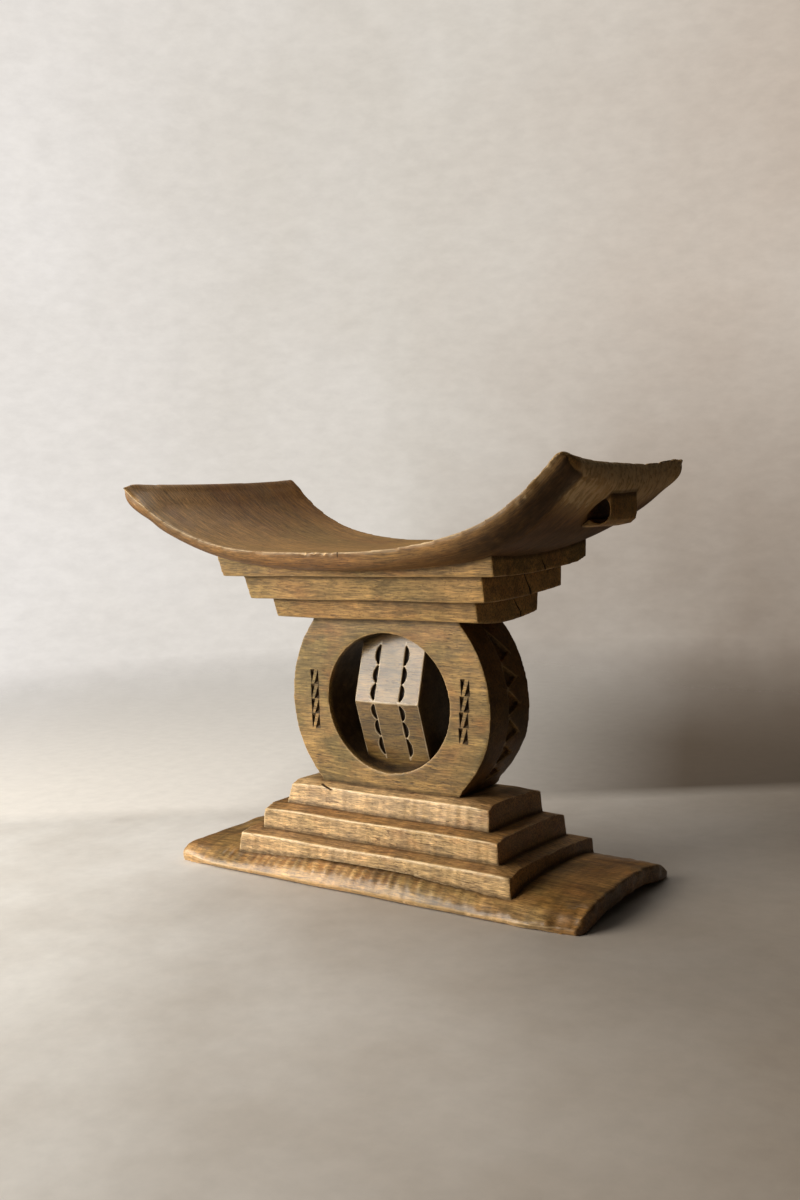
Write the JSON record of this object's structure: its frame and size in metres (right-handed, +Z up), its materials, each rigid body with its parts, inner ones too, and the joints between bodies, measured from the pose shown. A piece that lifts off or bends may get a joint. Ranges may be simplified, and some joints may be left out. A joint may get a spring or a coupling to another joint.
{
  "type": "carved wooden stool",
  "caption": "Traditional Ashanti stool with a curved seat on stepped tiers, a ring-shaped pedestal with an open centre and a ridged column, and a stepped, arched base plate.",
  "frame": {"origin": "centre of the overall box at floor level, where the base plate stands", "axes": "+X along the stool towards the wing with the carrying lug, +Y from the front face to the rear, +Z up"},
  "size_m": [0.5696, 0.299, 0.4534],
  "materials": {
    "seat_wood": "satin",
    "carved_wood": "satin",
    "base_wood": "satin"
  },
  "bodies": {
    "root": {"seat": "seat_wood", "handle_lug": "seat_wood", "upper_tier_top": "carved_wood", "upper_tier_middle": "carved_wood", "upper_tier_bottom": "carved_wood", "drum": "carved_wood", "drum_column": "carved_wood", "lower_tier_top": "carved_wood", "lower_tier_middle": "carved_wood", "lower_tier_bottom": "carved_wood", "base_plate": "base_wood"}
  },
  "joints": []
}
